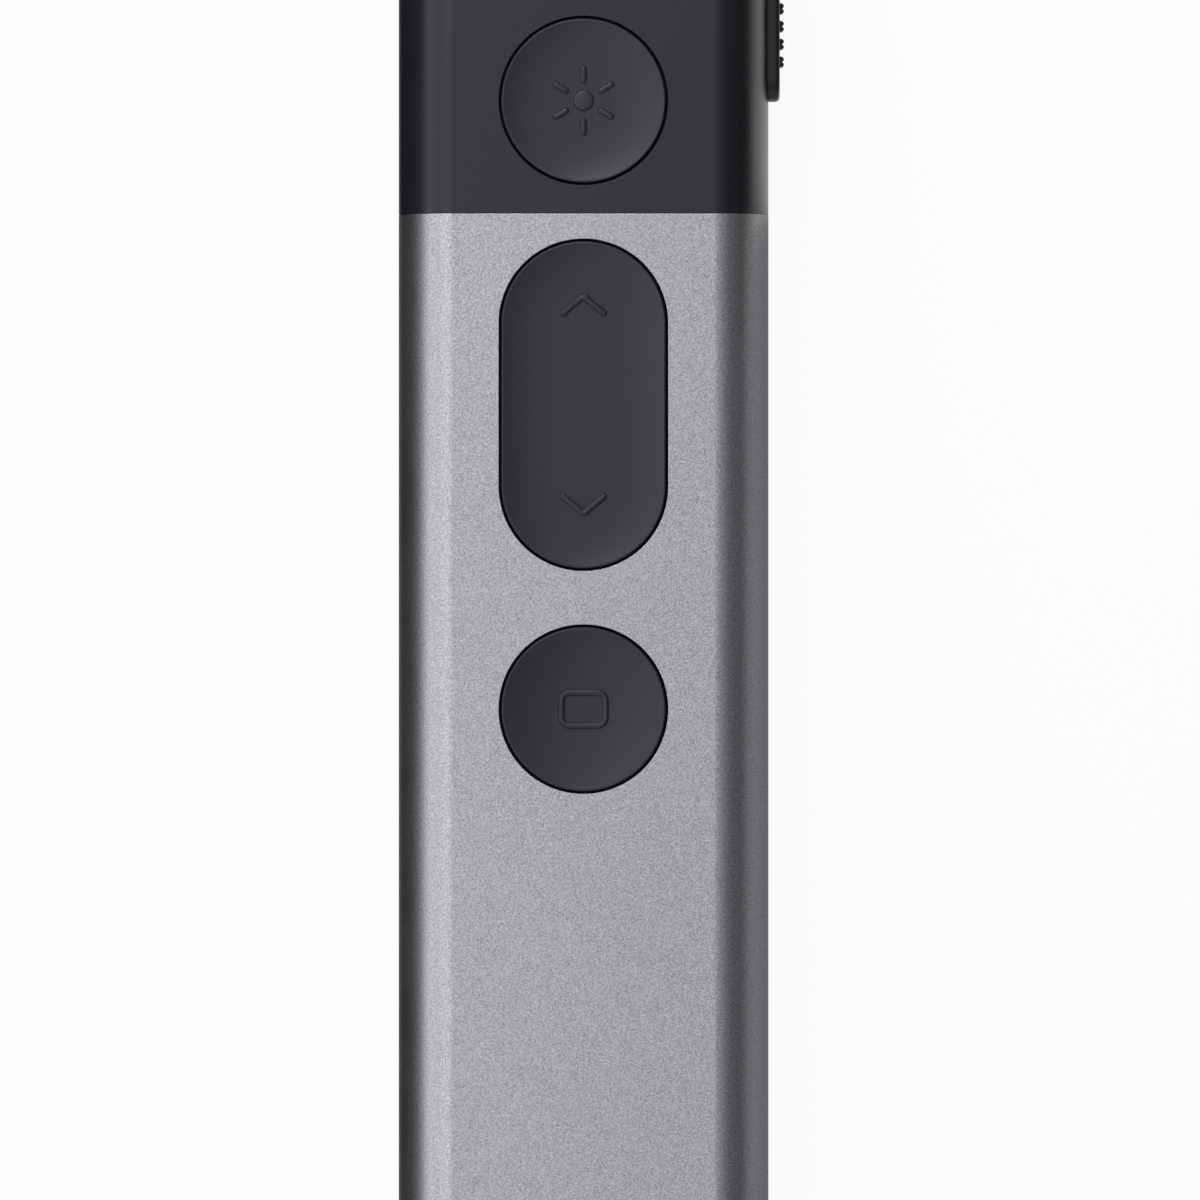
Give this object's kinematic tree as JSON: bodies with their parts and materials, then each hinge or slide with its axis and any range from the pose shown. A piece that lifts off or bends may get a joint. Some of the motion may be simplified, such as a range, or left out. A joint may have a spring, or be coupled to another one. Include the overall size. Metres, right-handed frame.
{
  "type": "wireless presentation clicker",
  "caption": "Slim bar-shaped presentation remote: flush round and pill keys, side power slider, laser tip, sliding battery door and a USB receiver parked in the tail.",
  "frame": {"origin": "on the flat back, under the middle of the body's length and width", "axes": "+Y along the body towards the laser tip, +Z from the back to the buttons, +X towards the side with the power slider"},
  "size_m": [0.0271, 0.1378, 0.014],
  "materials": {
    "anodised_aluminium": "bead-blasted anodised",
    "head_plastic": "satin moulded",
    "key_plastic": "fine matt moulded",
    "slider_plastic": "satin moulded",
    "door_plastic": "fine matt moulded",
    "inner_plastic": "plain moulded",
    "window_glass": "polished red",
    "lens_glass": "polished",
    "light_pipe_clear": "clear polished, lit green",
    "brass": "turned",
    "steel": "bright zinc",
    "black_screw_steel": "blackened",
    "nickel": "satin plated",
    "gold": "plated",
    "board_laminate": "solder mask over glass laminate",
    "chip_epoxy": "moulded epoxy",
    "ceramic": "fired ceramic",
    "plunger_plastic": "natural nylon",
    "lamp_lens": "clear resin",
    "lead_insulation": "soft",
    "cell_jacket": "printed film over a steel can",
    "receiver_plastic": "fine matt moulded"
  },
  "bodies": {
    "casing": {"aluminium_sleeve": "anodised_aluminium", "battery_cell": "cell_jacket", "battery_chassis": "inner_plastic", "board_carrier": "inner_plastic", "board_screws": "steel", "boost_coil": "chip_epoxy", "capacitors": "ceramic", "chip_antenna": "ceramic", "circuit_board": "board_laminate", "crystal_can": "nickel", "head_screws": "black_screw_steel", "head_shell": "head_plastic", "key_frame": "inner_plastic", "laser_barrel": "brass", "laser_diode": "nickel", "laser_driver_board": "board_laminate", "laser_leads": "lead_insulation", "laser_lens": "lens_glass", "laser_switch_body": "chip_epoxy", "laser_window": "window_glass", "light_pipe": "light_pipe_clear", "negative_lead": "lead_insulation", "negative_spring": "nickel", "page_down_switch_body": "chip_epoxy", "page_up_switch_body": "chip_epoxy", "positive_contact": "nickel", "power_switch_body": "nickel", "radio_chip": "chip_epoxy", "rocker_axle": "steel", "screen_switch_body": "chip_epoxy", "status_light": "lamp_lens", "tail_cap": "door_plastic", "tail_cap_screws": "black_screw_steel"},
    "laser_button": {"laser_button_cap": "key_plastic", "laser_switch_plunger": "plunger_plastic"},
    "page_rocker": {"page_rocker_cap": "key_plastic", "page_up_switch_plunger": "plunger_plastic", "page_down_switch_plunger": "plunger_plastic"},
    "screen_button": {"screen_button_cap": "key_plastic", "screen_switch_plunger": "plunger_plastic"},
    "power_slider": {"power_slider": "slider_plastic", "power_switch_lever": "inner_plastic"},
    "battery_door": {"battery_door": "door_plastic"},
    "usb_receiver": {"receiver_housing": "receiver_plastic", "receiver_plug_shell": "nickel", "receiver_contact_board": "chip_epoxy", "receiver_contacts": "gold"}
  },
  "joints": [
    {"name": "laser_press", "type": "slide", "parent": "casing", "child": "laser_button", "axis": [0, 0, -1], "range_m": [0, 0.0003], "stiffness_N_per_m": 2000},
    {"name": "page_rock", "type": "hinge", "parent": "casing", "child": "page_rocker", "pos_m": [0, 0.02732, 0.00993], "axis": [1, 0, 0], "range_deg": [-1.8, 1.8], "stiffness_Nm_per_rad": 0.45},
    {"name": "screen_press", "type": "slide", "parent": "casing", "child": "screen_button", "axis": [0, 0, -1], "range_m": [0, 0.0003], "stiffness_N_per_m": 2000},
    {"name": "power_slide", "type": "slide", "parent": "casing", "child": "power_slider", "axis": [0, -1, 0], "range_m": [0, 0.002]},
    {"name": "door_slide", "type": "slide", "parent": "casing", "child": "battery_door", "axis": [0, -1, 0], "range_m": [0, 0.06]},
    {"name": "receiver_pull", "type": "slide", "parent": "casing", "child": "usb_receiver", "axis": [0, -1, 0], "range_m": [0, 0.0175]}
  ]
}
